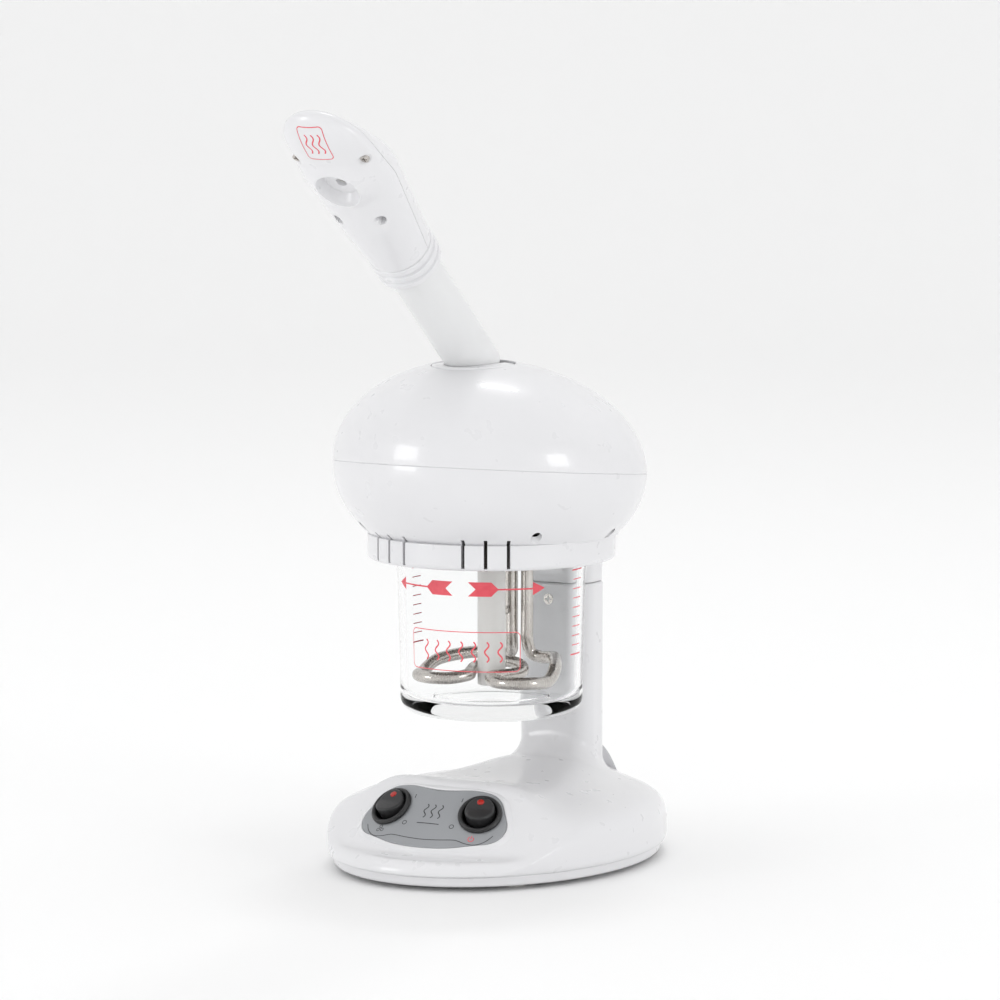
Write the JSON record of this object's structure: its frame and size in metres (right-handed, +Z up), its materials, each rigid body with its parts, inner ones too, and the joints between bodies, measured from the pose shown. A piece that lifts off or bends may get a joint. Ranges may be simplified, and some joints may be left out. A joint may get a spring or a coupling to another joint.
{
  "type": "facial steamer",
  "caption": "Table-top facial steamer: oval base with rocker switches, rear column, rounded boiler head over a screw-on glass jar, and a swivelling steam arm with a turning nozzle.",
  "frame": {"origin": "middle of the bounding box, on the surface that the feet stand on", "axes": "+Z up; the console, the arm and the nozzle face -Y; +X is to the right seen from the front"},
  "size_m": [0.165, 0.302, 0.3958],
  "materials": {
    "white_casing": "glossy white moulding with faint mould flow",
    "grey_panel": "silver-grey printed overlay",
    "black_plastic": "satin black",
    "red_lens": "translucent red",
    "rubber": "matt soft rubber",
    "steel": "satin stainless",
    "brass": "plain",
    "jar_glass": "clear pressed glass with red print",
    "clear_tube": "frosted translucent plastic",
    "silicone": "matt silicone",
    "natural_plastic": "natural heat-proof plastic",
    "phenolic": "dark brown heat-proof moulding",
    "circuit_board": "green board",
    "dark_fittings": "black potting",
    "wire_sleeve": "sleeved bundle",
    "lamp_glass": "quartz lamp in its holder"
  },
  "bodies": {
    "housing": {"base_plate": "white_casing", "rubber_feet": "rubber", "base_screws": "steel", "base_cover": "white_casing", "control_panel": "grey_panel", "power_switch_body": "black_plastic", "ozone_switch_body": "black_plastic", "cord_grommet": "rubber", "terminal_block": "natural_plastic", "control_board": "circuit_board", "wiring_harness": "wire_sleeve", "column_screw": "steel", "head_lower_shell": "white_casing", "head_upper_shell": "white_casing", "head_screws": "steel", "jar_socket": "phenolic", "heater_flange": "steel", "heater_tube": "steel", "thermowell": "steel", "centre_tube": "natural_plastic", "heater_nuts": "brass", "thermal_cutout": "dark_fittings", "steam_riser": "natural_plastic", "ozone_lamp": "lamp_glass", "lamp_ballast": "dark_fittings", "swivel_bush": "natural_plastic"},
    "power_rocker": {"power_rocker": "black_plastic", "power_lens": "red_lens"},
    "ozone_rocker": {"ozone_rocker": "black_plastic", "ozone_lens": "red_lens"},
    "jar_seal": {"jar_gasket": "silicone"},
    "jar": {"glass_jar": "jar_glass"},
    "arm": {"arm_turret": "white_casing", "turret_clip": "steel", "arm_tube": "clear_tube"},
    "nozzle": {"nozzle_ring": "white_casing", "nozzle_front_shell": "white_casing", "nozzle_rear_shell": "white_casing", "nozzle_duct": "natural_plastic", "nozzle_screws": "steel"}
  },
  "joints": [
    {"name": "power_switch", "type": "hinge", "parent": "housing", "child": "power_rocker", "pos_m": [0.02506, -0.02181, 0.03182], "axis": [0.9657, 0.2596, 0], "range_deg": [0, 16]},
    {"name": "ozone_switch", "type": "hinge", "parent": "housing", "child": "ozone_rocker", "pos_m": [-0.02506, -0.02181, 0.03182], "axis": [0.9657, -0.2596, 0], "range_deg": [0, 16]},
    {"name": "jar_descend", "type": "slide", "parent": "housing", "child": "jar_seal", "axis": [0, 0, -1], "range_m": [0, 0.0051]},
    {"name": "jar_unscrew", "type": "hinge", "parent": "jar_seal", "child": "jar", "pos_m": [0, 0.035, 0.12], "axis": [0, 0, -1], "range_deg": [0, 450]},
    {"name": "arm_swivel", "type": "hinge", "parent": "housing", "child": "arm", "pos_m": [0, 0.0155, 0.26314], "axis": [0, 0, 1], "range_deg": [-90, 90]},
    {"name": "nozzle_turn", "type": "hinge", "parent": "arm", "child": "nozzle", "pos_m": [0, -0.05608, 0.32173], "axis": [0, -0.7738, 0.6334], "continuous": true}
  ],
  "couplings": [
    {"joint": "jar_descend", "follows": "jar_unscrew", "m_per_rad": 0.00063662}
  ]
}
